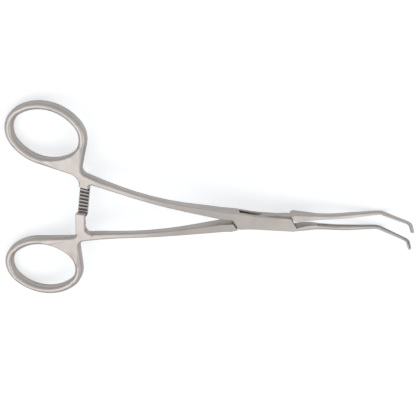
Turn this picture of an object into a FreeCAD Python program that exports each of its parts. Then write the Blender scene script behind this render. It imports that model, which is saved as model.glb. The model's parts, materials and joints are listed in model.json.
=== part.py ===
"""Vascular clamp with ring handles, an arched shank, a box lock and bent jaws.

Two crossing halves turn about one flush pin. The female half carries the box, a loop with two
cheeks. The male half passes through that box as a thin tenon. Each half is one forging: finger
ring, ratchet bar, shank, lock and serrated jaw.

Both halves are modelled closed, in the lock's own frame: hinge axis along Z through the origin,
jaws towards +X and the closing plane y = 0. The female handle is on the +Y side, the male handle
on the -Y side. At the end the halves are opened to the first ratchet tooth, tipped to lie on the
ring ends and the jaw bends, and moved so that the origin is under the middle of the part.
"""
import FreeCAD, Part
import math
import os
from FreeCAD import Placement, Rotation, Vector

# Finger rings
ring_hole_length = 28.2
ring_hole_width = 21.1
ring_end_radius = 8.4
ring_wire = 3.0
ring_thickness = 4.3
ring_edge = 0.85
ring_behind_pin = 91.6
ring_beside_axis = 25.5
ring_toe_out = 3.2
ring_slope = 16.5
ring_drop = 13.85

# Web between ring, shank and ratchet bar. Ahead is measured from the middle of the ring, high and
# low across the clamp from the inner side of the shank.
web_ahead = 15.2
web_high = 3.8
web_low = 1.85
web_corner = 3.0
shank_ahead = 22.1

# Ratchet. A root is where the web ends and the bar goes on, inwards from the side of the shank.
bar_width = 3.8
bar_depth_in_web = 4.0
female_bar_ahead = 19.1
female_bar_root = 2.2
female_bar_reach = 8.3
female_bar_corners = (5.0, 1.5)
male_bar_ahead = 18.3
male_bar_root = 3.3
male_bar_reach = 1.7
male_bar_corners = (2.6, 2.8)
bar_end_corner = 0.6
bar_edge = 0.35
tooth_pitch = 1.58
tooth_depth = 0.75
tooth_land = 0.3
tooth_clearance = 0.06
female_teeth = 8
female_end_land = 1.0
male_teeth = 4
male_end_land = 0.62
bar_end_clearance = 0.35

# Box lock
box_thickness = 5.4
box_back = 14.0
box_edge = 0.3
box_upper_side = 2.65
box_lower_side = 3.3
box_flare = 0.6
slot_height = 2.4
slot_end = 11.1
cheek_end = 10.6
cheek_end_angle = 35.0
tenon_clearance = 0.03
tenon_side = 2.65
tenon_flank_start = 12.2
shoulder_clearance = 0.06
pin_diameter = 2.6
pin_running_clearance = 0.02

# Shank: share of the way from the box to the web, width, thickness, edge radius
shank_stations = (
    (1.0, 3.1, ring_thickness, ring_edge),
    (0.83, 2.5, 3.5, 0.8),
    (0.6, 2.35, 3.4, 0.6),
    (0.36, 2.75, 3.9, 0.55),
    (0.15, 3.4, 4.8, 0.45),
    (0.0, 3.45, box_thickness, box_edge),
)
shank_steps = 2
shank_spread = 0.1325
shank_parting = 17.6
shank_gap = 0.12
arch_radius = 88.0

# Jaws: height is measured in the plane of the bends, width across the closing direction
jaw_base_width = 3.1
jaw_base_edge = 0.35
jaw_neck_at = 23.0
jaw_neck = (3.0, 2.2, 1.1)
jaw_middle = (2.8, 1.95, 1.05)
jaw_first_bend = (2.1, 1.4, 0.75)
jaw_second_bend = (1.55, 1.2, 0.6)
jaw_tip = (1.35, 1.1, 0.5)
jaw_droop_at = 32.3
jaw_droop = 8.2
jaw_droop_radius = 60.0
jaw_run = 18.3
jaw_rise = 55.2
jaw_rise_radius = 3.6
jaw_climb = 14.7
jaw_hook = 51.0
jaw_hook_radius = 3.2
jaw_end_run = 7.5
jaw_end_edge = 0.4
jaw_gap = 0.04
relief_depth = 1.6
relief_end = 21.5

# Serrations
serration_pitch = 0.87
serration_width = 0.6
serration_depth = 0.3
serration_margin = 0.7
channel_width = 0.36
channel_depth = 0.22

# Rest pose: the two halves stand open by this angle, at the first tooth
rest_opening = 6.4

UP = Vector(0, 0, 1)
ACROSS = Vector(0, 1, 0)
FULL_TURN = 2 * math.pi

# Distances behind the pin
female_bar_inside = ring_behind_pin - female_bar_ahead
male_bar_inside = ring_behind_pin - male_bar_ahead
shank_start = ring_behind_pin - shank_ahead


def sine(degrees):
    return math.sin(math.radians(degrees))


def cosine(degrees):
    return math.cos(math.radians(degrees))


def tangent(degrees):
    return math.tan(math.radians(degrees))


def prism(points, bottom, top):
    """Upright solid over a closed outline of (x, y) points."""
    corners = [Vector(x, y, bottom) for x, y in points]
    face = Part.Face(Part.makePolygon(corners + corners[:1]))
    return face.extrude(UP * (top - bottom))


def straight(a, b):
    return Part.LineSegment(a, b).toShape()


def mirrored(solid):
    """The same form on the other side of the closing plane."""
    return solid.mirror(Vector(0, 0, 0), ACROSS)


# Centre line of the shank

def arch_foot():
    """Where the sloping line of the ring passes into the arch."""
    drop = arch_radius * (1 - cosine(ring_slope))
    return -ring_behind_pin + (ring_drop - drop) / tangent(ring_slope)


def centre_height(x):
    """Height of the middle of the shank, from the ring's slope over the arch to the flat lock."""
    foot = arch_foot()
    crown = foot + arch_radius * sine(ring_slope)
    if x <= foot:
        return -ring_drop + (x + ring_behind_pin) * tangent(ring_slope)
    if x >= crown:
        return 0.0
    return math.sqrt(arch_radius**2 - (crown - x) ** 2) - arch_radius


def centre_slope(x):
    """Slope of that line in degrees."""
    crown = arch_foot() + arch_radius * sine(ring_slope)
    if x >= crown:
        return 0.0
    return min(ring_slope, math.degrees(math.asin((crown - x) / arch_radius)))


def shank_inner(x):
    """Inner side of the shank: closed against its neighbour, then spreading in a straight line."""
    return shank_gap + max(0.0, -x - shank_parting) * shank_spread


# Ring, web and ratchet bar

def ring_frame():
    """Local frame in the middle plane of the ring: origin at its centre, X along its oval."""
    centre = Vector(-ring_behind_pin, ring_beside_axis, -ring_drop)
    return Placement(centre, Rotation(ACROSS, -ring_slope).multiply(Rotation(UP, -ring_toe_out)))


def on_ring_plane(x, y):
    """A point of the plan view, in the local frame of the ring's sloping plane."""
    level = Vector((x + ring_behind_pin) / cosine(ring_slope), y - ring_beside_axis, 0)
    return Rotation(UP, ring_toe_out).multVec(level)


def oval_arcs(grow):
    """The oval of the ring's hole, grown outwards: centre, radius and end angles of four arcs."""
    reach = ring_hole_length / 2 - ring_end_radius
    half = ring_hole_width / 2
    side = (reach**2 + half**2 - ring_end_radius**2) / (2 * (half - ring_end_radius))
    lift = side - half
    turn = math.atan2(lift, reach)
    return (
        (Vector(reach, 0, 0), ring_end_radius + grow, -turn, turn),
        (Vector(0, -lift, 0), side + grow, turn, math.pi - turn),
        (Vector(-reach, 0, 0), ring_end_radius + grow, math.pi - turn, math.pi + turn),
        (Vector(0, lift, 0), side + grow, math.pi + turn, FULL_TURN - turn),
    )


def oval(grow, start=-FULL_TURN, finish=FULL_TURN):
    """Edges of the oval, counter-clockwise between two angles or all the way round."""
    edges = []
    for centre, radius, low, high in oval_arcs(grow):
        low, high = max(low, start), min(high, finish)
        if high > low:
            edges.append(Part.ArcOfCircle(Part.Circle(centre, UP, radius), low, high).toShape())
    return edges


def touch_angle(point, side):
    """Angle at which a line from a point touches the outer oval, on the chosen side."""
    for centre, radius, low, high in oval_arcs(ring_wire):
        away = point - centre
        if away.Length > radius:
            angle = math.atan2(away.y, away.x) + side * math.acos(radius / away.Length)
            angle = low + (angle - low) % FULL_TURN
            if angle <= high:
                return angle
    raise RuntimeError("no line from the web touches the ring")


def vertical_edge(solid, point):
    """The edge along the local Z that stands nearest to a point."""
    upright = [e for e in solid.Edges if abs(e.tangentAt(e.FirstParameter).z) > 0.999]
    return min(upright, key=lambda e: math.hypot(e.CenterOfMass.x - point.x, e.CenterOfMass.y - point.y))


def root_y(bar_inside, bar_root):
    """Where across the clamp the web ends and the bar goes on alone."""
    return shank_inner(-bar_inside) - bar_root


def ring_plate(bar_inside, bar_root, bar_corners):
    """Ring and web as one plate with bevelled rims, in plan and thickness like a flat forging."""
    bar_outside = bar_inside + bar_width
    web_x = web_ahead - ring_behind_pin
    end_width = shank_stations[0][1]
    root = [
        on_ring_plane(-bar_outside, shank_inner(-bar_outside) + web_low),
        on_ring_plane(-bar_outside, root_y(bar_inside, bar_root)),
        on_ring_plane(-bar_inside, root_y(bar_inside, bar_root)),
        on_ring_plane(-bar_inside, shank_inner(-bar_inside)),
        on_ring_plane(-shank_start, shank_inner(-shank_start)),
        on_ring_plane(-shank_start, shank_inner(-shank_start) + end_width),
        on_ring_plane(web_x, shank_inner(web_x) + web_high),
    ]
    bow = oval(ring_wire, touch_angle(root[-1], 1), touch_angle(root[0], -1))
    line = [bow[-1].lastVertex().Point] + root + [bow[0].firstVertex().Point]
    edges = bow + [straight(a, b) for a, b in zip(line, line[1:])]
    half = UP * (ring_thickness / 2)
    face = Part.Face(Part.Wire(Part.__sortEdges__(edges)))
    face.translate(-half)
    plate = face.extrude(half * 2)
    for point, radius in zip((root[0], root[3], root[6]), bar_corners + (web_corner,)):
        plate = plate.makeFillet(radius, [vertical_edge(plate, point)])
    hole = Part.Face(Part.Wire(oval(0)))
    hole.translate(-UP * ring_thickness)
    plate = plate.cut(hole.extrude(UP * ring_thickness * 2))
    open_ends = (root[1] + root[2], root[4] + root[5])
    rims = []
    for edge in plate.Edges:
        middle = edge.CenterOfMass
        level = abs(abs(middle.z) - ring_thickness / 2) < 1e-4
        flat = abs(edge.tangentAt(edge.FirstParameter).z) < 1e-4
        at_end = any(math.hypot(middle.x - p.x / 2, middle.y - p.y / 2) < 1e-3 for p in open_ends)
        if level and flat and not at_end:
            rims.append(edge)
    return plate.makeChamfer(ring_edge, rims)


def cone_height(radius):
    """Height of the surface on which the teeth meet: a cone about the hinge axis."""
    return -ring_drop + (ring_behind_pin - radius) * tangent(ring_slope)


def cone_band(near, far, facing, start, end):
    """Ring-shaped solid from the cone upwards (facing 1) or downwards (facing -1).

    Near and far are radii. Start and end are sideways places at the near radius.
    """
    gap = -facing * tooth_clearance / 2
    depth = facing * ring_thickness * 1.5
    outline = [
        Vector(-near, 0, cone_height(near) + gap),
        Vector(-far, 0, cone_height(far) + gap),
        Vector(-far, 0, cone_height(far) + depth),
        Vector(-near, 0, cone_height(near) + depth),
    ]
    face = Part.Face(Part.makePolygon(outline + outline[:1]))
    face.rotate(Vector(), UP, -swing(start, near))
    return face.revolve(Vector(), UP, swing(start, near) - swing(end, near))


def swing(distance, radius):
    """Angle about the hinge, in degrees, that moves a point sideways by a distance."""
    return math.degrees(math.asin(distance / radius))


def ratchet_bar(inside, root, reach):
    """Plain bar, as thick as the ring, from inside the web to beyond the closing plane."""
    start = root_y(inside, root) + bar_depth_in_web
    corners = [
        on_ring_plane(-inside, start),
        on_ring_plane(-inside, -reach),
        on_ring_plane(-inside - bar_width, -reach),
        on_ring_plane(-inside - bar_width, start),
    ]
    face = Part.Face(Part.makePolygon(corners + corners[:1]))
    face.translate(-UP * (ring_thickness / 2))
    bar = face.extrude(UP * ring_thickness)
    ends = [vertical_edge(bar, corner) for corner in corners[1:3]]
    bar = bar.makeFillet(bar_end_corner, ends)
    rims = [e for e in bar.Edges if abs(abs(e.CenterOfMass.z) - ring_thickness / 2) < 1e-6]
    bar = bar.makeFillet(bar_edge, rims)
    bar.Placement = ring_frame()
    return bar


def tooth_gaps(inside, reach, end_land, count, facing):
    """Saw-tooth gaps, each on a straight line through the hinge axis. Facing is 1 up, -1 down."""
    middle = inside + bar_width / 2
    start = middle - bar_width
    slant = tooth_pitch - tooth_land
    outline = [
        Vector(start, -slant / 2, -facing * tooth_depth),
        Vector(start, -slant / 2, facing),
        Vector(start, slant / 2, facing),
        Vector(start, slant / 2, 0),
    ]
    gaps = []
    for index in range(count):
        place = end_land + index * tooth_pitch + slant / 2 - reach
        face = Part.Face(Part.makePolygon(outline + outline[:1]))
        face.translate(Vector(-start * 2, 0, cone_height(start) - facing * tooth_clearance / 2))
        along = Vector(-cosine(ring_slope), 0, -sine(ring_slope))
        gap = face.extrude(along * bar_width * 2)
        gap.rotate(Vector(), UP, -swing(place, middle))
        gaps.append(gap)
    return gaps


# Shank

def section(place, near, far, height, near_edge, far_edge):
    """Closed cross-section from near to far along Y, with its corners rounded where asked."""
    half = height / 2
    corners = (
        (near, -half, near_edge),
        (far, -half, far_edge),
        (far, half, far_edge),
        (near, half, near_edge),
    )
    side = math.copysign(1.0, far - near)
    into = ((side, 1), (-side, 1), (-side, -1), (side, -1))
    edges, last, first = [], None, None
    for index, ((y, z, radius), (dy, dz)) in enumerate(zip(corners, into)):
        along_y = Vector(0, y + dy * radius, z)
        along_z = Vector(0, y, z + dz * radius)
        start, end = (along_z, along_y) if index % 2 == 0 else (along_y, along_z)
        if last is not None:
            edges.append(straight(last, start))
        if radius > 0:
            bulge = Vector(0, y + dy * radius * (1 - cosine(45)), z + dz * radius * (1 - cosine(45)))
            edges.append(Part.Arc(start, bulge, end).toShape())
        first = start if first is None else first
        last = end
    edges.append(straight(last, first))
    wire = Part.Wire(edges)
    wire.Placement = place
    return wire


def stub_outline(plate):
    """Outline of the end of the web, from which the shank goes on."""
    inner, width = shank_inner(-shank_start), shank_stations[0][1]
    middle = Vector(-shank_start, inner + width / 2, centre_height(-shank_start))
    return min(plate.Faces, key=lambda f: f.CenterOfMass.distanceToPoint(middle)).OuterWire


def smooth_values(index):
    """A curve through one column of the shank's stations. Its parameter counts the stations."""
    curve = Part.BSplineCurve()
    points = [Vector(station[0], station[index], 0) for station in shank_stations]
    curve.interpolate(Points=points, Parameters=list(range(len(points))))
    return curve


def shank(outline):
    """Loft from the web's end to the box in short steps along the arch, thinnest half way."""
    widths, thicknesses, edges = smooth_values(1), smooth_values(2), smooth_values(3)
    wires = [outline]
    for step in range(1, (len(shank_stations) - 1) * shank_steps + 1):
        at = step / shank_steps
        x = -box_back - widths.value(at).x * (shank_start - box_back)
        inner = shank_inner(x)
        place = Placement(Vector(x, 0, centre_height(x)), Rotation(ACROSS, -centre_slope(x)))
        edge = edges.value(at).y
        outer = inner + widths.value(at).y
        wires.append(section(place, inner, outer, thicknesses.value(at).y, edge, edge))
    return Part.makeLoft(wires, True, True)


# Jaw

def jaw_path():
    """Stations of the jaw: place, slope and section at the end of each run, and the bends."""
    droop_tangent = jaw_droop_radius * tangent(jaw_droop / 2)
    rise_tangent = jaw_rise_radius * tangent(jaw_rise / 2)
    hook_tangent = jaw_hook_radius * tangent(jaw_hook / 2)
    front = box_front()
    return (
        ("run", jaw_neck_at - front, jaw_neck),
        ("run", jaw_droop_at - droop_tangent - jaw_neck_at, jaw_middle),
        ("bend", -jaw_droop, jaw_droop_radius),
        ("run", jaw_run - droop_tangent - rise_tangent, jaw_first_bend),
        ("bend", jaw_rise, jaw_rise_radius),
        ("run", jaw_climb - rise_tangent - hook_tangent, jaw_second_bend),
        ("bend", jaw_hook, jaw_hook_radius),
        ("run", jaw_end_run - hook_tangent, jaw_tip),
    )


def turned(place, angle, radius):
    """Place after a bend. A positive angle turns upwards."""
    centre = place.multVec(Vector(0, 0, math.copysign(radius, angle)))
    spin = Placement(Vector(), Rotation(ACROSS, -angle), centre)
    return spin.multiply(place)


def follow(first_leg, first_section, wire_of):
    """Solid along the jaw's path: a loft for each run and a revolved section for each bend."""
    place = Placement(Vector(box_front(), 0, 0), Rotation())
    solids, size = [], first_section
    for index, (kind, amount, detail) in enumerate(jaw_path()):
        active = index >= first_leg
        if kind == "run":
            ahead = place.multiply(Placement(Vector(amount, 0, 0), Rotation()))
            if active:
                ends = [wire_of(place, size), wire_of(ahead, detail)]
                solids.append(Part.makeLoft(ends, True, True))
            size = detail
            place = ahead
        else:
            centre = place.multVec(Vector(0, 0, math.copysign(detail, amount)))
            if active:
                face = Part.Face(wire_of(place, size))
                solids.append(face.revolve(centre, ACROSS * math.copysign(1, -amount), abs(amount)))
            place = turned(place, amount, detail)
    return solids[0].multiFuse(solids[1:]).removeSplitter()


def place_along(distance):
    """Place on the jaw's centre line at a distance from the neck."""
    place = Placement(Vector(jaw_neck_at, 0, 0), Rotation())
    left = distance
    for kind, amount, detail in jaw_path()[1:]:
        length = amount if kind == "run" else math.radians(abs(amount)) * detail
        part = min(left, length)
        if kind == "run":
            place = place.multiply(Placement(Vector(part, 0, 0), Rotation()))
        else:
            place = turned(place, amount * part / length, detail)
        left -= part
        if left <= 0:
            break
    return place


def serrated_length():
    lengths = [a if kind == "run" else math.radians(abs(a)) * d for kind, a, d in jaw_path()[1:]]
    return sum(lengths) - serration_margin


def jaw():
    """Jaw on the -Y side: flat towards the closing plane, rounded behind, serrated to the tip."""
    def body(place, size):
        height, width, edge = size
        return section(place, -jaw_gap, -width, height, 0, edge)

    def groove(place, size):
        return section(place, jaw_gap, -jaw_gap - channel_depth, channel_width, 0, 0)

    solid = follow(0, (box_thickness, jaw_base_width, jaw_base_edge), body)
    end = place_along(serrated_length() + serration_margin).Base
    tip_face = min(solid.Faces, key=lambda f: f.CenterOfMass.distanceToPoint(end))
    solid = solid.makeFillet(jaw_end_edge, tip_face.Edges)
    half = serration_width / 2
    tools = [follow(1, jaw_neck, groove)]
    height = jaw_neck[0]
    for index in range(int(serrated_length() / serration_pitch)):
        outline = [
            Vector(-half, jaw_gap, -height),
            Vector(half, jaw_gap, -height),
            Vector(half, -jaw_gap, -height),
            Vector(0, -jaw_gap - serration_depth, -height),
            Vector(-half, -jaw_gap, -height),
        ]
        face = Part.Face(Part.makePolygon(outline + outline[:1]))
        notch = face.extrude(UP * height * 2)
        notch.Placement = place_along((index + 0.5) * serration_pitch)
        tools.append(notch)
    return solid.cut(tools)


# Box lock

def cheek_x(y, distance):
    """X on the slanted end of a cheek, at a distance from the pin along its normal."""
    return (distance - y * sine(cheek_end_angle)) / cosine(cheek_end_angle)


def box_front():
    return cheek_x(0, cheek_end)


def jaw_relief():
    """Hollow in the inner side of the female jaw, from the line of the cheek's end forwards."""
    back = Vector(cheek_x(-relief_depth, cheek_end), -relief_depth, 0)
    front = Vector(relief_end, -jaw_gap, 0)
    start = Vector(cheek_x(jaw_gap, cheek_end), jaw_gap, 0)
    curve = Part.BezierCurve()
    curve.setPoles([back, Vector((back.x + front.x) / 2, -jaw_gap, 0), front])
    edges = [
        straight(start, back),
        curve.toShape(),
        straight(front, Vector(relief_end, jaw_gap, 0)),
        straight(Vector(relief_end, jaw_gap, 0), start),
    ]
    face = Part.Face(Part.Wire(edges))
    face.translate(-UP * box_thickness)
    return face.extrude(UP * box_thickness * 2)


def box():
    """Block of the female half, with waisted sides and slanted ends."""
    back, back_width = -box_back, shank_stations[-1][1]
    half = box_thickness / 2
    low = -box_lower_side - box_flare
    upper_front = Vector(cheek_x(box_upper_side, cheek_end), box_upper_side, 0)
    lower_back = Vector(-cheek_x(-low, cheek_end), low, 0)
    waist = Part.BezierCurve()
    waist.setPoles([
        Vector(back, shank_gap + back_width, 0),
        Vector(back * 2 / 3, shank_gap + back_width, 0),
        Vector(back / 2, box_upper_side, 0),
        Vector(0, box_upper_side, 0),
    ])
    outline = [
        waist.toShape(),
        straight(Vector(0, box_upper_side, 0), upper_front),
        straight(upper_front, Vector(box_front(), -jaw_gap, 0)),
        straight(Vector(box_front(), -jaw_gap, 0), Vector(box_front(), -jaw_base_width, 0)),
        straight(Vector(box_front(), -jaw_base_width, 0), Vector(0, -box_lower_side, 0)),
        Part.Arc(
            Vector(0, -box_lower_side, 0),
            Vector(lower_back.x / 2, -box_lower_side - box_flare / 4, 0),
            lower_back,
        ).toShape(),
        straight(lower_back, Vector(-cheek_x(-shank_gap, cheek_end), shank_gap, 0)),
        straight(Vector(-cheek_x(-shank_gap, cheek_end), shank_gap, 0), Vector(back, shank_gap, 0)),
        straight(Vector(back, shank_gap, 0), Vector(back, shank_gap + back_width, 0)),
    ]
    face = Part.Face(Part.Wire(outline))
    face.translate(-UP * half)
    block = face.extrude(UP * box_thickness)
    rims = []
    for edge in block.Edges:
        middle = edge.CenterOfMass
        level = abs(abs(middle.z) - half) < 1e-6
        joined = abs(middle.x - back) < 1e-6 or abs(middle.x - box_front()) < 1e-6
        if level and not joined:
            rims.append(edge)
    return block.makeFillet(box_edge, rims)


def slot():
    """The opening through the female half in which the tenon turns."""
    wall = math.atan2(box_upper_side - jaw_gap, box_front() - slot_end)
    top = box_upper_side * 2
    foot = Vector(-box_front(), jaw_gap, 0)
    head = Vector(foot.x + (top - jaw_gap) / math.tan(wall), top, 0)
    half = [
        (head.x, head.y),
        (foot.x, foot.y),
        (foot.x - box_thickness, foot.y),
        (foot.x - box_thickness, -top),
    ]
    points = half + [(-x, -y) for x, y in half]
    return prism(points, -slot_height / 2, slot_height / 2)


def tenon():
    """Full-thickness block of the male half, before its cheeks' beds are cut."""
    back, back_width = -box_back, shank_stations[-1][1]
    half = box_thickness / 2
    points = [
        (back, -shank_gap),
        (-tenon_flank_start, -shank_gap),
        (-shank_gap, tenon_side),
        (cheek_end - box_flare, tenon_side),
        (box_front(), jaw_base_width),
        (box_front(), jaw_gap),
        (tenon_flank_start, jaw_gap),
        (shank_gap, -tenon_side),
        (back, -shank_gap - back_width),
    ]
    return prism(points, -half, half)


def cheek_beds():
    """Two slanted cuts, above and below the tenon, in which the cheeks lie."""
    reach = cheek_end + shoulder_clearance
    inner = slot_height / 2 - tenon_clearance
    depth = box_thickness
    beds = []
    for bottom in (inner, -inner - depth):
        bed = Part.makeBox(reach * 2, reach * 4, depth, Vector(-reach, -reach * 2, bottom))
        bed.rotate(Vector(), UP, cheek_end_angle)
        beds.append(bed)
    return beds


def pin_bore(clearance):
    radius = pin_diameter / 2 + clearance
    return Part.makeCylinder(radius, box_thickness * 2, Vector(0, 0, -box_thickness))


def pin():
    """Flush pin through both cheeks and the tenon."""
    return Part.makeCylinder(pin_diameter / 2, box_thickness, Vector(0, 0, -box_thickness / 2))


# The two halves, closed

def handle(bar_inside, bar_root, bar_corners, bar_reach):
    """Ring, web, plain bar and shank on the +Y side."""
    plate = ring_plate(bar_inside, bar_root, bar_corners)
    plate.Placement = ring_frame()
    return plate.fuse([ratchet_bar(bar_inside, bar_root, bar_reach), shank(stub_outline(plate))])


def female_half():
    """Upper handle, low bar with teeth facing up, box and lower jaw."""
    near, far = female_bar_inside - bar_width / 2, female_bar_inside + bar_width * 1.5
    root = root_y(female_bar_inside, female_bar_root)
    above = cone_band(near, far, 1, root, -female_bar_reach - bar_width)
    gaps = tooth_gaps(female_bar_inside, female_bar_reach, female_end_land, female_teeth, 1)
    grip = handle(female_bar_inside, female_bar_root, female_bar_corners, female_bar_reach)
    grip = grip.cut([above] + gaps)
    lock = box().cut([slot(), pin_bore(0)])
    half = grip.fuse([lock, jaw()])
    return half.cut(jaw_relief()).removeSplitter()


def male_half():
    """Lower handle, high bar with teeth facing down, tenon and upper jaw."""
    near = female_bar_inside - bar_end_clearance
    far = male_bar_inside + bar_width * 1.5
    relief = female_bar_reach + bar_end_clearance
    below = cone_band(near, far, -1, relief, -male_bar_reach - bar_width)
    gaps = tooth_gaps(male_bar_inside, male_bar_reach, male_end_land, male_teeth, -1)
    grip = handle(male_bar_inside, male_bar_root, male_bar_corners, male_bar_reach)
    grip = mirrored(grip.cut([below] + gaps))
    half = tenon().fuse([grip, mirrored(jaw())])
    half = half.cut(cheek_beds() + [pin_bore(pin_running_clearance)])
    return half.removeSplitter()


# Rest pose

def mesh_points(solids):
    return [point for solid in solids for point in solid.tessellate(0.02)[0]]


def resting_tilt(solids):
    """Tilt about Y at which the ring ends and the jaw bends touch the ground together."""
    points = mesh_points(solids)
    low, high = 0.0, 30.0
    while high - low > 1e-7:
        tilt = (low + high) / 2
        heights = [(p.x, p.z * cosine(tilt) - p.x * sine(tilt)) for p in points]
        behind = min(z for x, z in heights if x < 0)
        ahead = min(z for x, z in heights if x > 0)
        low, high = (tilt, high) if behind < ahead else (low, tilt)
    return (low + high) / 2


def main():
    """Build the three pieces, lay them down and write one file each."""
    solids = {"female_half": female_half(), "male_half": male_half(), "box_lock_pin": pin()}
    solids["female_half"].rotate(Vector(), UP, -rest_opening / 2)
    solids["box_lock_pin"].rotate(Vector(), UP, -rest_opening / 2)
    solids["male_half"].rotate(Vector(), UP, rest_opening / 2)
    tilt = resting_tilt(solids.values())
    for solid in solids.values():
        solid.rotate(Vector(), ACROSS, tilt)
    points = mesh_points(solids.values())
    middle = [(min(values) + max(values)) / 2 for values in zip(*((p.x, p.y) for p in points))]
    ground = min(p.z for p in points)
    shift = Vector(-middle[0], -middle[1], -ground)
    os.makedirs("parts", exist_ok=True)
    for name, solid in solids.items():
        solid.translate(shift)
        if not solid.isValid() or len(solid.Solids) != 1:
            raise RuntimeError(name + " is not one sound solid")
        solid.exportStep("parts/" + name + ".step")
        print(name, round(solid.Volume, 1), solid.BoundBox)
    axis = Vector(sine(tilt), 0, cosine(tilt))
    print("pivot", tuple(round(v, 4) for v in shift), "axis", tuple(round(v, 6) for v in axis))
    print("tilt", round(tilt, 4))


main()
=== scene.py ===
"""Looks of a vascular clamp: satin steel halves, cut teeth, the lock's pin, and a pale stage."""
import json
import math

import bmesh
import bpy
from bpy.props import FloatProperty, FloatVectorProperty, PointerProperty
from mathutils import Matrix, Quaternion, Vector


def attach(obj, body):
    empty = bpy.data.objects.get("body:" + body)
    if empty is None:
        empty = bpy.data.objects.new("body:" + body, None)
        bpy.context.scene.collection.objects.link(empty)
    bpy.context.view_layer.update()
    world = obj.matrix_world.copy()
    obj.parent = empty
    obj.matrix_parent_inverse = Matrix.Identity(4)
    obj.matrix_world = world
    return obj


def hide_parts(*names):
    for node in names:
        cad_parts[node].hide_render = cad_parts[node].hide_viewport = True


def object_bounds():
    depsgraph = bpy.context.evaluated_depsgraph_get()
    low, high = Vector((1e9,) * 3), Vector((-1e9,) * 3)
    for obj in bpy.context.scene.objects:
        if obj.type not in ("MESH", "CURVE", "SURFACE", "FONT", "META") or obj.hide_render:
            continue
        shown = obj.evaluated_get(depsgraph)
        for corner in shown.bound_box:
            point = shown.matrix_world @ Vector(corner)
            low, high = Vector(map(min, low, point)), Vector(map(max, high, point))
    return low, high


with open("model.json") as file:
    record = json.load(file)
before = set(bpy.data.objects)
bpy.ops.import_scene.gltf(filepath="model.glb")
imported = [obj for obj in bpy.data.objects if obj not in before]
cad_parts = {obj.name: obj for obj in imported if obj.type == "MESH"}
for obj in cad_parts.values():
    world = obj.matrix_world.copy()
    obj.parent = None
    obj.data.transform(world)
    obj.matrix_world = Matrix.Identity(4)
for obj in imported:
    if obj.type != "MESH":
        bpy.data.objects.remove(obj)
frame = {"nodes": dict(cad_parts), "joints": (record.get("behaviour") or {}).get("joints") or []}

bl_info = {
    "name": "Vascular clamp",
    "version": (1, 0, 0),
    "blender": (4, 5, 0),
    "location": "View3D > Sidebar > Clamp",
    "description": "Builds the looks of a ring-handled vascular clamp around its construction model",
    "category": "Object",
}

CAD_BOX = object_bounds()
PIVOT = frame["joints"][0]
PIVOT_PLACE = Vector(PIVOT["pos_m"])
PIVOT_AXIS = Vector(PIVOT["axis"]).normalized()
ALONG_LOCK = Vector((PIVOT_AXIS.z, 0, -PIVOT_AXIS.x))
MILLIMETRE = 0.001
WELD_DISTANCE = MILLIMETRE / 1000
# Places measured from the pivot's axis, along X towards the jaws and along Y across the clamp
BAR_FRONT = -72.3 * MILLIMETRE
BAR_BACK = -77.3 * MILLIMETRE
BAR_HALF_SPAN = 9.5 * MILLIMETRE
LOCK_BACK = -16.0 * MILLIMETRE
SHANK_FRONT = -18.0 * MILLIMETRE
WEB_FRONT = -66.0 * MILLIMETRE
RING_FRONT = -84.0 * MILLIMETRE
RING_SIDE = 20.0 * MILLIMETRE
SERRATED_FROM = 22.8 * MILLIMETRE
# Each outer corner of the tenon's shoulders: its place along and across the lock, and its slide
SHOULDER_CORNERS = [
    [value * MILLIMETRE for value in corner]
    for corner in ((-10.43, -3.92, -0.29, 0.33), (10.9, 3.4, 0.37, -0.45))
]
SHOULDER_REACH = 0.7 * MILLIMETRE
# The step under the root of the male bar, where the clearance for the other bar ends
STEP_START = -71.5 * MILLIMETRE
STEP_END = -69.0 * MILLIMETRE
STEP_ROOF = -8.1 * MILLIMETRE
STEP_SIDE = -12.7 * MILLIMETRE
STEP_INSIDE = -11.8 * MILLIMETRE
# How closely a face's normal follows the pivot's axis: flat faces more than the first, upright ones less
# than the second
FLAT_FROM = 0.93
UPRIGHT_TO = 0.35
# How much of a face's normal points out of the toothed side, along the bar, and at the other jaw
TOOTH_FACING = 0.25
FLANK_FACING = 0.6
GRIP_FACING = 0.3
# Share of the colour that is left under haze, roughness that haze adds, and share left where shade is
# painted into recesses
HAZE_TONE = 0.93
HAZE_ROUGHNESS = 0.06
PAINTED_SHADE_TONE = 0.15
# Lamps, and the point that the camera looks at, in metres
KEY_PLACE = (-0.75, -0.5, 0.9)
KEY_SIZE = 1.0
FILL_PLACE = (0.6, -0.2, 0.7)
FILL_SIZE = 0.6
AIM_ACROSS = 2.7 * MILLIMETRE
AIM_HEIGHT = 6.4 * MILLIMETRE


class SteelSettings(bpy.types.PropertyGroup):
    """Finish of the forged halves."""

    colour: FloatVectorProperty(
        name="Colour", description="Colour of the satin steel", subtype="COLOR",
        default=(0.63, 0.582, 0.548), min=0.0, max=1.0,
    )
    roughness: FloatProperty(
        name="Roughness", description="Roughness of the satin faces", default=0.36, min=0.0, max=1.0,
    )
    grain: FloatProperty(
        name="Grain", description="Spacing of the fine finishing grain", unit="LENGTH",
        default=0.00016, precision=5,
    )
    edge_round: FloatProperty(
        name="Edge rounding", description="Radius at which sharp edges catch the light", unit="LENGTH",
        default=0.00012, precision=5,
    )
    # Reach of the painted shade that darkens the satin steel in its corners and hollows
    painted_shade_reach: FloatProperty(
        name="Recess reach", description="How far around a point its recess is felt", unit="LENGTH",
        default=0.0022, precision=5,
    )
    crisp_angle: FloatProperty(
        name="Crisp angle", description="Edges sharper than this stay crisp on lock, bars and jaws",
        subtype="ANGLE", default=math.radians(24),
    )
    blend_angle: FloatProperty(
        name="Blend angle", description="Edges up to this are blended on rings and shanks",
        subtype="ANGLE", default=math.radians(52),
    )


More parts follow.
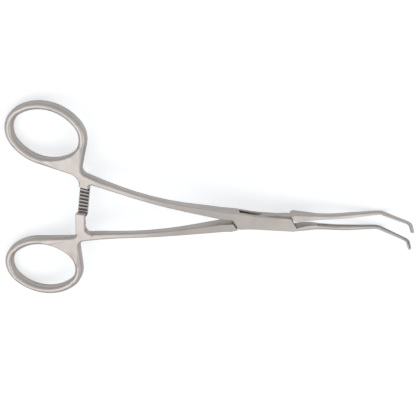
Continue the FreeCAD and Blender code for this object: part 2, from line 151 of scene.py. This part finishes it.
class RatchetSettings(bpy.types.PropertyGroup):
    """Finish of the ratchet's teeth, which the finishing belt doesn't reach."""

    colour: FloatVectorProperty(
        name="Colour", description="Colour of the teeth", subtype="COLOR",
        default=(0.62, 0.6, 0.585), min=0.0, max=1.0,
    )
    # Painted shade: this darker colour is painted into the roots of the teeth
    painted_shade_colour: FloatVectorProperty(
        name="Recess colour", description="Colour in the roots of the teeth", subtype="COLOR",
        default=(0.26, 0.25, 0.245), min=0.0, max=1.0,
    )
    roughness: FloatProperty(
        name="Roughness", description="Roughness of the teeth", default=0.4, min=0.0, max=1.0,
    )
    edge_round: FloatProperty(
        name="Edge rounding", description="Radius at which the crests catch the light", unit="LENGTH",
        default=0.00008, precision=5,
    )
    # Reach of the painted shade in the roots of the teeth
    painted_shade_reach: FloatProperty(
        name="Recess reach", description="How far around a point its recess is felt", unit="LENGTH",
        default=0.0009, precision=5,
    )


class SerrationSettings(bpy.types.PropertyGroup):
    """Finish of the jaws' gripping faces: crests painted lighter as a highlight, over painted shade in
    the roots.
    """

    # Painted highlight: the crests are a much lighter steel colour than the satin faces, so that they
    # look lit
    colour: FloatVectorProperty(
        name="Colour", description="Colour of the crests", subtype="COLOR",
        default=(0.97, 0.95, 0.93), min=0.0, max=1.0,
    )
    # Painted shade: this near black colour is painted into the roots
    painted_shade_colour: FloatVectorProperty(
        name="Recess colour", description="Colour in the roots", subtype="COLOR",
        default=(0.015, 0.014, 0.013), min=0.0, max=1.0,
    )
    roughness: FloatProperty(
        name="Roughness", description="Roughness of the gripping faces", default=0.62, min=0.0, max=1.0,
    )
    edge_round: FloatProperty(
        name="Edge rounding", description="Radius at which the crests catch the light", unit="LENGTH",
        default=0.00012, precision=5,
    )
    # Reach of the painted shade in the roots
    painted_shade_reach: FloatProperty(
        name="Recess reach", description="How far around a point its recess is felt", unit="LENGTH",
        default=0.0005, precision=5,
    )


class PinSettings(bpy.types.PropertyGroup):
    """Ends of the box lock's pin."""

    edge: FloatProperty(
        name="Edge", description="Bevel round the pin's ends", unit="LENGTH",
        default=0.00005, precision=5,
    )


class StageSettings(bpy.types.PropertyGroup):
    """Floor, light and camera."""

    floor_size: FloatProperty(
        name="Floor size", description="Width of the square floor", unit="LENGTH", default=6.0,
    )
    floor_colour: FloatVectorProperty(
        name="Floor colour", description="Colour of the floor", subtype="COLOR",
        default=(0.82, 0.85, 0.88), min=0.0, max=1.0,
    )
    surroundings: FloatProperty(
        name="Surroundings", description="Level of the room's light overhead", default=0.69, min=0.0,
    )
    horizon: FloatProperty(
        name="Horizon", description="Level of the room's light along the floor", default=0.4, min=0.0,
    )
    key_power: FloatProperty(
        name="Key lamp", description="Power of the large lamp over the rings in watts",
        default=2.8, min=0.0,
    )
    fill_power: FloatProperty(
        name="Fill lamp", description="Power of the lamp over the jaws in watts", default=1.0, min=0.0,
    )
    floor_lift: FloatProperty(
        name="Floor lift", description="How much whiter the camera sees the floor",
        default=0.45, min=0.0,
    )
    mirrored_lift: FloatProperty(
        name="Mirrored lift", description="Share of the lift that the steel's reflections show",
        subtype="FACTOR", default=0.2, min=0.0, max=1.0,
    )
    distance: FloatProperty(
        name="Camera distance", description="From the middle of the clamp to the camera", unit="LENGTH",
        default=0.463,
    )
    azimuth: FloatProperty(
        name="Camera azimuth", description="Direction of the camera round the clamp", subtype="ANGLE",
        default=math.radians(183.7),
    )
    elevation: FloatProperty(
        name="Camera elevation", description="Angle of the camera above the floor", subtype="ANGLE",
        default=math.radians(63.1),
    )
    roll: FloatProperty(
        name="Camera roll", description="Turn of the camera about its own view", subtype="ANGLE",
        default=math.radians(180.7),
    )
    focal_length: FloatProperty(
        name="Focal length", description="Focal length in millimetres on a 36 mm sensor", default=96.3,
    )


def deselect_all():
    """Clear the selection."""
    for thing in bpy.context.selected_objects:
        thing.select_set(False)


def make_active(thing):
    """Select one thing alone and make it the active one."""
    deselect_all()
    thing.select_set(True)
    bpy.context.view_layer.objects.active = thing


def link(tree, start, end):
    """Join an output to an input."""
    tree.links.new(start, end)


def new_node(tree, kind, **values):
    """Add a node and set its options."""
    node = tree.nodes.new(kind)
    for name, value in values.items():
        setattr(node, name, value)
    return node


def new_group(name, inputs, outputs):
    """Empty shader group with named sockets. Inputs are (name, kind, default), outputs (name, kind)."""
    group = bpy.data.node_groups.new(name, "ShaderNodeTree")
    for socket_name, kind, default in inputs:
        socket = group.interface.new_socket(name=socket_name, in_out="INPUT", socket_type=kind)
        if default is not None:
            socket.default_value = default
    for socket_name, kind in outputs:
        group.interface.new_socket(name=socket_name, in_out="OUTPUT", socket_type=kind)
    return group, new_node(group, "NodeGroupInput"), new_node(group, "NodeGroupOutput")


def mapped(tree, value, low, high):
    """Map a value of 0 to 1 onto low to high, which are numbers or sockets."""
    node = new_node(tree, "ShaderNodeMapRange")
    link(tree, value, node.inputs["Value"])
    for name, end in (("To Min", low), ("To Max", high)):
        if isinstance(end, (int, float)):
            node.inputs[name].default_value = end
        else:
            link(tree, end, node.inputs[name])
    return node.outputs["Result"]


def grain_group():
    """Fine directional grain left by satin finishing, as a height and a roughness."""
    group, given, made = new_group(
        "Satin grain",
        (("Vector", "NodeSocketVector", None), ("Spacing", "NodeSocketFloat", 0.0002),
         ("Length", "NodeSocketFloat", 6.0), ("Roughness", "NodeSocketFloat", 0.35),
         ("Spread", "NodeSocketFloat", 0.05)),
        (("Height", "NodeSocketFloat"), ("Roughness", "NodeSocketFloat")),
    )
    frequency = new_node(group, "ShaderNodeMath", operation="DIVIDE")
    frequency.inputs[0].default_value = 1.0
    link(group, given.outputs["Spacing"], frequency.inputs[1])
    along = new_node(group, "ShaderNodeMath", operation="DIVIDE")
    link(group, frequency.outputs[0], along.inputs[0])
    link(group, given.outputs["Length"], along.inputs[1])
    scale = new_node(group, "ShaderNodeCombineXYZ")
    link(group, along.outputs[0], scale.inputs["X"])
    link(group, frequency.outputs[0], scale.inputs["Y"])
    link(group, frequency.outputs[0], scale.inputs["Z"])
    stretched = new_node(group, "ShaderNodeVectorMath", operation="MULTIPLY")
    link(group, given.outputs["Vector"], stretched.inputs[0])
    link(group, scale.outputs[0], stretched.inputs[1])
    noise = new_node(group, "ShaderNodeTexNoise")
    noise.inputs["Scale"].default_value = 1.0
    noise.inputs["Detail"].default_value = 3.0
    noise.inputs["Roughness"].default_value = 0.6
    link(group, stretched.outputs[0], noise.inputs["Vector"])
    link(group, noise.outputs["Fac"], made.inputs["Height"])
    low = new_node(group, "ShaderNodeMath", operation="SUBTRACT")
    link(group, given.outputs["Roughness"], low.inputs[0])
    link(group, given.outputs["Spread"], low.inputs[1])
    high = new_node(group, "ShaderNodeMath", operation="ADD")
    link(group, given.outputs["Roughness"], high.inputs[0])
    link(group, given.outputs["Spread"], high.inputs[1])
    grained = mapped(group, noise.outputs["Fac"], low.outputs[0], high.outputs[0])
    link(group, grained, made.inputs["Roughness"])
    return group


def haze_group():
    """Broad soft clouding of the finish from cleaning and handling, as a mask."""
    group, given, made = new_group(
        "Handling haze",
        (("Vector", "NodeSocketVector", None), ("Patch size", "NodeSocketFloat", 0.012)),
        (("Mask", "NodeSocketFloat"),),
    )
    frequency = new_node(group, "ShaderNodeMath", operation="DIVIDE")
    frequency.inputs[0].default_value = 1.0
    link(group, given.outputs["Patch size"], frequency.inputs[1])
    noise = new_node(group, "ShaderNodeTexNoise")
    noise.inputs["Detail"].default_value = 4.0
    noise.inputs["Roughness"].default_value = 0.55
    noise.inputs["Distortion"].default_value = 0.4
    link(group, given.outputs["Vector"], noise.inputs["Vector"])
    link(group, frequency.outputs[0], noise.inputs["Scale"])
    soft = new_node(group, "ShaderNodeMapRange", interpolation_type="SMOOTHSTEP")
    soft.inputs["From Min"].default_value = 0.35
    soft.inputs["From Max"].default_value = 0.68
    link(group, noise.outputs["Fac"], soft.inputs["Value"])
    link(group, soft.outputs["Result"], made.inputs["Mask"])
    return group


def painted_shade_group():
    """How far a point is shut in between its neighbours, from 0 in the open to 1 in a root, as the mask
    of painted shade.
    """
    group, given, made = new_group(
        "Painted recess shade",
        (("Reach", "NodeSocketFloat", 0.001), ("Open", "NodeSocketFloat", 0.9),
         ("Shut", "NodeSocketFloat", 0.35)),
        (("Mask", "NodeSocketFloat"),),
    )
    # Ambient occlusion, read as the mask where shade is painted
    shut_in = new_node(group, "ShaderNodeAmbientOcclusion", samples=8, only_local=True)
    link(group, given.outputs["Reach"], shut_in.inputs["Distance"])
    painted_deep = new_node(group, "ShaderNodeMapRange", interpolation_type="SMOOTHSTEP")
    link(group, given.outputs["Open"], painted_deep.inputs["From Min"])
    link(group, given.outputs["Shut"], painted_deep.inputs["From Max"])
    link(group, shut_in.outputs["AO"], painted_deep.inputs["Value"])
    link(group, painted_deep.outputs["Result"], made.inputs["Mask"])
    return group


def placed_group(tree, name, maker, **values):
    """The shared group of that name, made when it is first asked for, with values for this material."""
    node = new_node(tree, "ShaderNodeGroup", node_tree=bpy.data.node_groups.get(name) or maker())
    for socket, value in values.items():
        node.inputs[socket].default_value = value
    return node


def colour_with_haze_and_painted_shade(tree, finish, painted_deep_colour, haze, painted_shade):
    """The finish's colour, dulled by haze, and with shade painted into the recesses."""
    clouded = new_node(tree, "ShaderNodeMix", data_type="RGBA")
    clouded.inputs["A"].default_value = (*finish.colour, 1.0)
    clouded.inputs["B"].default_value = (*(value * HAZE_TONE for value in finish.colour), 1.0)
    link(tree, haze, clouded.inputs["Factor"])
    painted_shade_mix = new_node(tree, "ShaderNodeMix", data_type="RGBA")
    painted_shade_mix.inputs["B"].default_value = (*painted_deep_colour, 1.0)
    link(tree, painted_shade, painted_shade_mix.inputs["Factor"])
    link(tree, clouded.outputs["Result"], painted_shade_mix.inputs["A"])
    return painted_shade_mix.outputs["Result"]


def steel_relief(tree, edge_round, grain, height, bump):
    """Normal that rounds the sharp edges off and carries the relief of the grain."""
    rounded = new_node(tree, "ShaderNodeBevel", samples=4)
    rounded.inputs["Radius"].default_value = edge_round
    relief = new_node(tree, "ShaderNodeBump")
    relief.inputs["Strength"].default_value = bump
    relief.inputs["Distance"].default_value = grain
    link(tree, height, relief.inputs["Height"])
    link(tree, rounded.outputs["Normal"], relief.inputs["Normal"])
    return relief.outputs["Normal"]


def steel_material(name, finish, painted_deep_colour, spread, bump, painted_shade_span):
    """Brushed steel: grain in relief and roughness, and in the colour haze and shade painted into the
    recesses.
    """
    grain = bpy.context.scene.clamp_steel.grain
    open_from, shut_at = painted_shade_span
    material = bpy.data.materials.new(name)
    material.use_nodes = True
    tree = material.node_tree
    shader = tree.nodes["Principled BSDF"]
    shader.inputs["Metallic"].default_value = 1.0
    fine = placed_group(
        tree, "Satin grain", grain_group, Spacing=grain, Roughness=finish.roughness, Spread=spread)
    haze = placed_group(tree, "Handling haze", haze_group)
    painted_shade = placed_group(
        tree, "Painted recess shade", painted_shade_group, Reach=finish.painted_shade_reach, Open=open_from, Shut=shut_at)
    place = new_node(tree, "ShaderNodeTexCoord")
    for pattern in (fine, haze):
        link(tree, place.outputs["Object"], pattern.inputs["Vector"])
    colour = colour_with_haze_and_painted_shade(tree, finish, painted_deep_colour, haze.outputs["Mask"], painted_shade.outputs["Mask"])
    link(tree, colour, shader.inputs["Base Color"])
    hazed = new_node(tree, "ShaderNodeMath", operation="MULTIPLY_ADD")
    hazed.inputs[1].default_value = HAZE_ROUGHNESS
    link(tree, haze.outputs["Mask"], hazed.inputs[0])
    link(tree, fine.outputs["Roughness"], hazed.inputs[2])
    link(tree, hazed.outputs[0], shader.inputs["Roughness"])
    normal = steel_relief(tree, finish.edge_round, grain, fine.outputs["Height"], bump)
    link(tree, normal, shader.inputs["Normal"])
    return material


def satin_steel():
    """Steel of the forged faces, with painted shade darkening their corners."""
    steel = bpy.context.scene.clamp_steel
    painted_deep = [value * PAINTED_SHADE_TONE for value in steel.colour]
    return bpy.data.materials.get("satin steel") or steel_material(
        "satin steel", steel, painted_deep, spread=0.05, bump=0.12, painted_shade_span=(0.9, 0.42))


def ratchet_steel():
    """Steel of the ratchet's teeth, with painted shade in their roots."""
    teeth = bpy.context.scene.clamp_ratchet
    return bpy.data.materials.get("ratchet steel") or steel_material(
        "ratchet steel", teeth, teeth.painted_shade_colour, spread=0.08, bump=0.2, painted_shade_span=(0.75, 0.2))


def serration_steel():
    """Steel of the jaws' gripping faces, with painted highlight on the crests and painted shade in the
    roots.
    """
    grip = bpy.context.scene.clamp_serrations
    return bpy.data.materials.get("serration steel") or steel_material(
        "serration steel", grip, grip.painted_shade_colour, spread=0.08, bump=0.15, painted_shade_span=(0.9, 0.7))


def welded_copy(node, name):
    """Copy of a construction piece, welded and shaded smooth over its rounded faces."""
    piece = bpy.data.objects.new(name, frame["nodes"][node].data.copy())
    bpy.context.scene.collection.objects.link(piece)
    make_active(piece)
    bpy.ops.object.mode_set(mode="EDIT")
    bpy.ops.mesh.select_mode(type="FACE")
    bpy.ops.mesh.select_all(action="SELECT")
    bpy.ops.mesh.remove_doubles(threshold=WELD_DISTANCE)
    for strength, wanted in (("STRONG", True), ("WEAK", False)):
        select_broad_faces(piece, wanted)
        bpy.ops.mesh.mod_weighted_strength(set=True, face_strength=strength)
    bpy.ops.object.mode_set(mode="OBJECT")
    shade_by_place(piece.data)
    evened = piece.modifiers.new("even normals", "WEIGHTED_NORMAL")
    evened.keep_sharp = True
    evened.use_face_influence = True
    bpy.ops.object.modifier_apply(modifier=evened.name)
    return piece


def ease_shoulders(piece):
    """Slide the outer corners of the shoulders away from the box and towards the middle line."""
    for along, across, slide_along, slide_across in SHOULDER_CORNERS:
        make_active(piece)
        bpy.ops.object.mode_set(mode="EDIT")
        bpy.ops.mesh.select_mode(type="VERT")
        shape = bmesh.from_edit_mesh(piece.data)
        for vertex in shape.verts:
            flat = from_axis(vertex.co)
            away = math.hypot(flat.dot(ALONG_LOCK) - along, flat.y - across)
            vertex.select_set(away < SHOULDER_REACH)
        bmesh.update_edit_mesh(piece.data)
        slide = ALONG_LOCK * slide_along + Vector((0, slide_across, 0))
        bpy.ops.transform.translate(value=slide)
        bpy.ops.object.mode_set(mode="OBJECT")


def share(value, none_at, all_at):
    """0 at none_at and beyond it, 1 at all_at and beyond it, and straight between them."""
    return min(1.0, max(0.0, (value - none_at) / (all_at - none_at)))


def ease_bar_step(piece):
    """Turn the step under the root of the male bar into a ramp."""
    for vertex in piece.data.vertices:
        flat = from_axis(vertex.co)
        height = up_axis(vertex.co)
        along = flat.dot(ALONG_LOCK)
        if along > STEP_START and height < STEP_ROOF:
            lift = share(along, STEP_END, STEP_START) * share(flat.y, STEP_SIDE, STEP_INSIDE)
            vertex.co += PIVOT_AXIS * (STEP_ROOF - height) * lift


def select_broad_faces(piece, wanted):
    """Select the flat and upright faces, or, if they aren't wanted, the bevels and round places."""
    shape = bmesh.from_edit_mesh(piece.data)
    for face in shape.faces:
        level = abs(face.normal.dot(PIVOT_AXIS))
        flat_or_upright = level > FLAT_FROM or level < UPRIGHT_TO
        broad = flat_or_upright and not is_round_place(face.calc_center_median())
        face.select_set(broad == wanted)
    shape.select_flush_mode()
    bmesh.update_edit_mesh(piece.data)


def is_round_place(point):
    """True on the finger rings and the shanks, whose section has no flat to keep."""
    flat = from_axis(point)
    on_ring = flat.x < RING_FRONT or (flat.x < SHANK_FRONT and abs(flat.y) > RING_SIDE)
    return on_ring or WEB_FRONT < flat.x < SHANK_FRONT


def shade_by_place(mesh):
    """Smooth shading. Edges turn crisp at a wider angle on rings and shanks than elsewhere."""
    steel = bpy.context.scene.clamp_steel
    shape = bmesh.new()
    shape.from_mesh(mesh)
    for face in shape.faces:
        face.smooth = True
    for edge in shape.edges:
        flat = from_axis((edge.verts[0].co + edge.verts[1].co) / 2)
        on_bars = abs(flat.y) < BAR_HALF_SPAN
        blended = flat.x < LOCK_BACK and not on_bars
        edge.smooth = edge.calc_face_angle(0.0) < (steel.blend_angle if blended else steel.crisp_angle)
    shape.to_mesh(mesh)
    shape.free()


def up_axis(point):
    """How far a point lies from the pivot, measured along the pivot's axis."""
    return (point - PIVOT_PLACE).dot(PIVOT_AXIS)


def from_axis(point):
    """The shortest way from the pivot's axis to a point, as a vector."""
    return point - PIVOT_PLACE - PIVOT_AXIS * up_axis(point)


def finish_half(piece, node, body, tooth_side):
    """Give a half its finishes: satin all over, and machined steel on its teeth and serrations, all with
    painted shade in their corners and roots.

    tooth_side is 1 where the teeth face up and the jaw grips towards +Y, and -1 where both are reversed.
    """
    piece.data.materials.clear()
    for material in (satin_steel(), ratchet_steel(), serration_steel()):
        piece.data.materials.append(material)
    for face in piece.data.polygons:
        face.material_index = finish_of(face, tooth_side)
    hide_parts(node)
    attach(piece, body)


def finish_of(face, tooth_side):
    """Which finish a face has: 1 on the ratchet's teeth, 2 on the jaw's serrations, else 0."""
    flat = from_axis(face.center)
    if BAR_BACK < flat.x < BAR_FRONT and abs(flat.y) < BAR_HALF_SPAN:
        return int(face.normal.z * tooth_side > TOOTH_FACING or abs(face.normal.y) > FLANK_FACING)
    grips = flat.x > SERRATED_FROM and face.normal.y * tooth_side > GRIP_FACING
    return 2 if grips else 0


class CLAMP_OT_female_half(bpy.types.Operator):
    """Dress the half that carries the box, the long ratchet bar and the upper ring"""

    bl_idname = "clamp.female_half"
    bl_label = "Female half"

    def execute(self, context):
        finish_half(welded_copy("female_half", "box_half"), "female_half", "box_body", 1)
        return {"FINISHED"}


class CLAMP_OT_male_half(bpy.types.Operator):
    """Dress the half that passes through the box as a tenon"""

    bl_idname = "clamp.male_half"
    bl_label = "Male half"

    def execute(self, context):
        piece = welded_copy("male_half", "tenon_half")
        ease_shoulders(piece)
        ease_bar_step(piece)
        finish_half(piece, "male_half", "tenon_body", -1)
        return {"FINISHED"}


class CLAMP_OT_pin(bpy.types.Operator):
    """Make the pin of the box lock, whose ends are ground flush with the cheeks"""

    bl_idname = "clamp.pin"
    bl_label = "Lock pin"

    def execute(self, context):
        piece = welded_copy("box_lock_pin", "lock_pin")
        edge = piece.modifiers.new("ground edge", "BEVEL")
        edge.width = context.scene.clamp_pin.edge
        edge.segments = 2
        edge.limit_method = "ANGLE"
        bpy.ops.object.modifier_apply(modifier=edge.name)
        piece.data.materials.clear()
        piece.data.materials.append(satin_steel())
        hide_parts("box_lock_pin")
        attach(piece, "box_body")
        return {"FINISHED"}


def floor_material(stage):
    """Plain pale floor that shows white to the camera and keeps the clamp's shadow."""
    material = bpy.data.materials.new("pale floor")
    material.use_nodes = True
    tree = material.node_tree
    shader = tree.nodes["Principled BSDF"]
    shader.inputs["Base Color"].default_value = (*stage.floor_colour, 1.0)
    shader.inputs["Roughness"].default_value = 0.9
    shader.inputs["Emission Color"].default_value = (1.0, 1.0, 1.0, 1.0)
    ray = new_node(tree, "ShaderNodeLightPath")
    mirrored = new_node(tree, "ShaderNodeMath", operation="MAXIMUM")
    link(tree, ray.outputs["Is Glossy Ray"], mirrored.inputs[0])
    link(tree, ray.outputs["Is Transmission Ray"], mirrored.inputs[1])
    in_steel = mapped(tree, mirrored.outputs[0], 0.0, stage.floor_lift * stage.mirrored_lift)
    lifted = mapped(tree, ray.outputs["Is Camera Ray"], in_steel, stage.floor_lift)
    link(tree, lifted, shader.inputs["Emission Strength"])
    return material


def add_lamp(name, power, size, place):
    """Square soft lamp at a place, facing the middle of the floor."""
    bpy.ops.object.light_add(type="AREA", location=place)
    lamp = bpy.context.object
    lamp.name = name
    lamp.data.energy = power
    lamp.data.size = size
    lamp.rotation_euler = Vector(place).to_track_quat("Z", "Y").to_euler()


def add_camera(stage):
    """Camera on the photograph's line of sight, turned so that the rings are on the left."""
    low, high = CAD_BOX
    middle = Vector(((low[0] + high[0]) / 2, AIM_ACROSS, AIM_HEIGHT))
    direction = Vector((
        math.cos(stage.elevation) * math.sin(stage.azimuth),
        -math.cos(stage.elevation) * math.cos(stage.azimuth),
        math.sin(stage.elevation),
    ))
    bpy.ops.object.camera_add(location=middle + direction * stage.distance)
    camera = bpy.context.object
    upright = direction.to_track_quat("Z", "Y")
    camera.rotation_euler = (upright @ Quaternion((0, 0, 1), stage.roll)).to_euler()
    camera.data.lens = stage.focal_length
    camera.data.sensor_width = 36.0
    camera.data.clip_start = 0.01
    bpy.context.scene.camera = camera


def set_world(overhead, horizon):
    """Soft surroundings that fall off towards the floor, and white behind the clamp."""
    world = bpy.data.worlds.new("studio")
    bpy.context.scene.world = world
    world.use_nodes = True
    tree = world.node_tree
    background = tree.nodes["Background"]
    background.inputs["Color"].default_value = (1.0, 1.0, 1.0, 1.0)
    place = new_node(tree, "ShaderNodeTexCoord")
    split = new_node(tree, "ShaderNodeSeparateXYZ")
    link(tree, place.outputs["Generated"], split.inputs[0])
    level = mapped(tree, split.outputs["Z"], horizon, overhead)
    ray = new_node(tree, "ShaderNodeLightPath")
    seen = mapped(tree, ray.outputs["Is Camera Ray"], level, 1.0)
    link(tree, seen, background.inputs["Strength"])


class CLAMP_OT_stage(bpy.types.Operator):
    """Set the pale floor, the soft lamps and the camera"""

    bl_idname = "clamp.stage"
    bl_label = "Stage"

    def execute(self, context):
        stage = context.scene.clamp_stage
        deselect_all()
        bpy.ops.mesh.primitive_plane_add(size=stage.floor_size)
        floor = context.object
        floor.name = "floor"
        floor.data.materials.append(floor_material(stage))
        add_lamp("key lamp", stage.key_power, KEY_SIZE, KEY_PLACE)
        add_lamp("fill lamp", stage.fill_power, FILL_SIZE, FILL_PLACE)
        set_world(stage.surroundings, stage.horizon)
        add_camera(stage)
        context.scene.view_settings.view_transform = "Standard"
        return {"FINISHED"}


class CLAMP_PT_panel(bpy.types.Panel):
    """Sizes and finishes of the clamp, and a button for each piece"""

    bl_label = "Vascular clamp"
    bl_idname = "CLAMP_PT_panel"
    bl_space_type = "VIEW_3D"
    bl_region_type = "UI"
    bl_category = "Clamp"

    def draw(self, context):
        for step in STEPS:
            self.layout.operator(step.bl_idname)
        for title, settings in SETTINGS.items():
            box = self.layout.box()
            box.label(text=title.replace("_", " ").capitalize())
            for name in settings.__annotations__:
                box.prop(getattr(context.scene, title), name)


STEPS = (CLAMP_OT_female_half, CLAMP_OT_male_half, CLAMP_OT_pin, CLAMP_OT_stage)
SETTINGS = {
    "clamp_steel": SteelSettings,
    "clamp_ratchet": RatchetSettings,
    "clamp_serrations": SerrationSettings,
    "clamp_pin": PinSettings,
    "clamp_stage": StageSettings,
}


def register():
    for name, settings in SETTINGS.items():
        bpy.utils.register_class(settings)
        setattr(bpy.types.Scene, name, PointerProperty(type=settings))
    for part in (*STEPS, CLAMP_PT_panel):
        bpy.utils.register_class(part)


def unregister():
    for part in reversed((*STEPS, CLAMP_PT_panel)):
        bpy.utils.unregister_class(part)
    for name, settings in SETTINGS.items():
        delattr(bpy.types.Scene, name)
        bpy.utils.unregister_class(settings)


def main():
    """Register the add-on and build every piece."""
    register()
    bpy.ops.clamp.female_half()
    bpy.ops.clamp.male_half()
    bpy.ops.clamp.pin()
    bpy.ops.clamp.stage()


if __name__ == "__main__":
    main()
